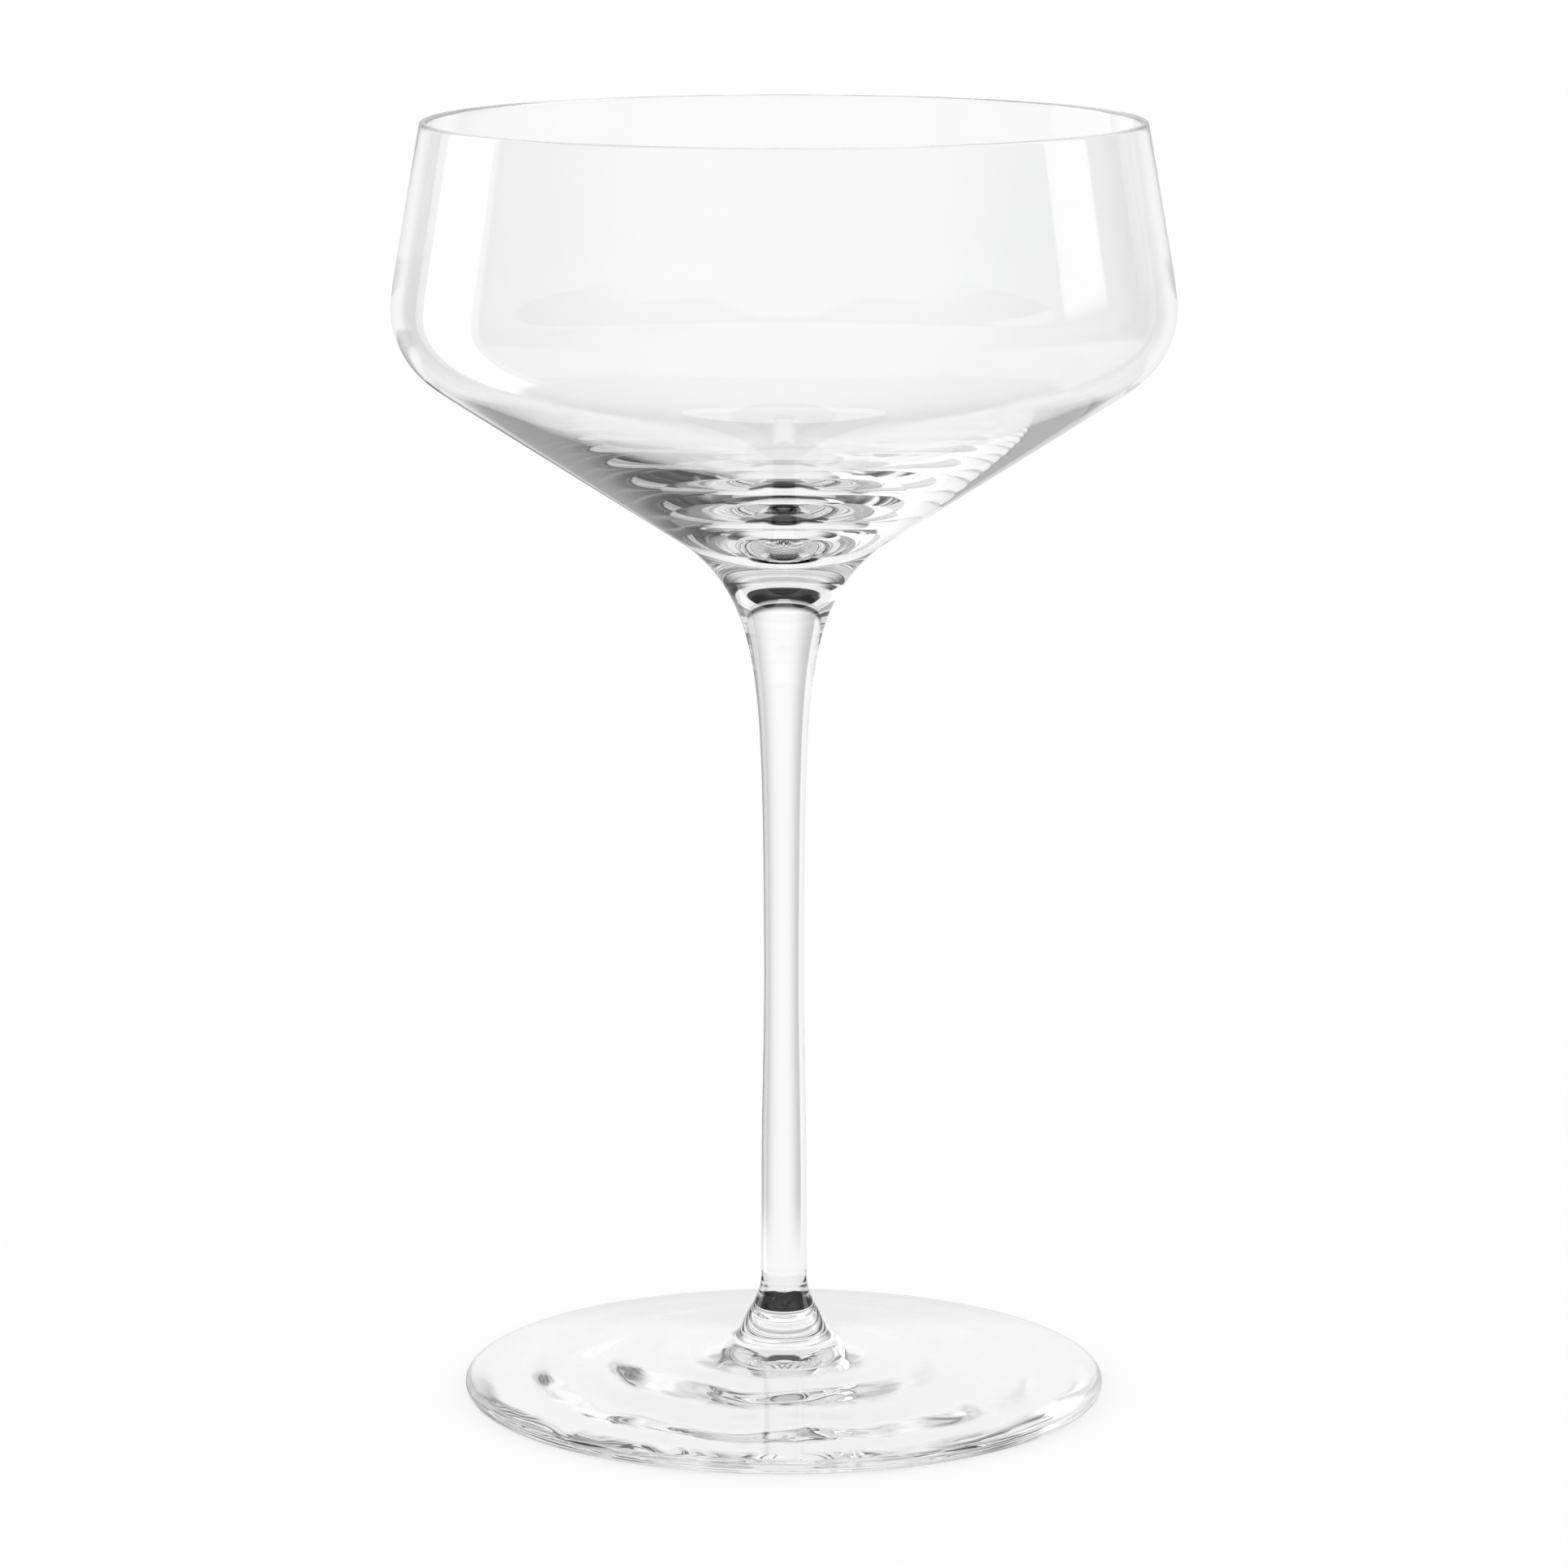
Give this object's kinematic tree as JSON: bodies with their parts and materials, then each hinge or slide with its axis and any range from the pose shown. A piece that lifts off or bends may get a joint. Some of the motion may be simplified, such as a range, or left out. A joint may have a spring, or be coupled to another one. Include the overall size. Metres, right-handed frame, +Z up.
{
  "type": "coupe glass",
  "caption": "Clear stemmed drinking glass: wide shallow bowl with a conical base, rounded shoulder and inward-leaning wall, thin drawn stem flared at both ends, round sloping foot.",
  "frame": {"origin": "centre of the foot's resting ring, on the table", "axes": "+Z up along the glass's axis of revolution; X and Y are free, because the glass is round"},
  "size_m": [0.103, 0.103, 0.17],
  "materials": {
    "clear_glass": "clear, fire-polished"
  },
  "bodies": {
    "root": {"bowl": "clear_glass", "stem": "clear_glass", "foot": "clear_glass"}
  },
  "joints": []
}
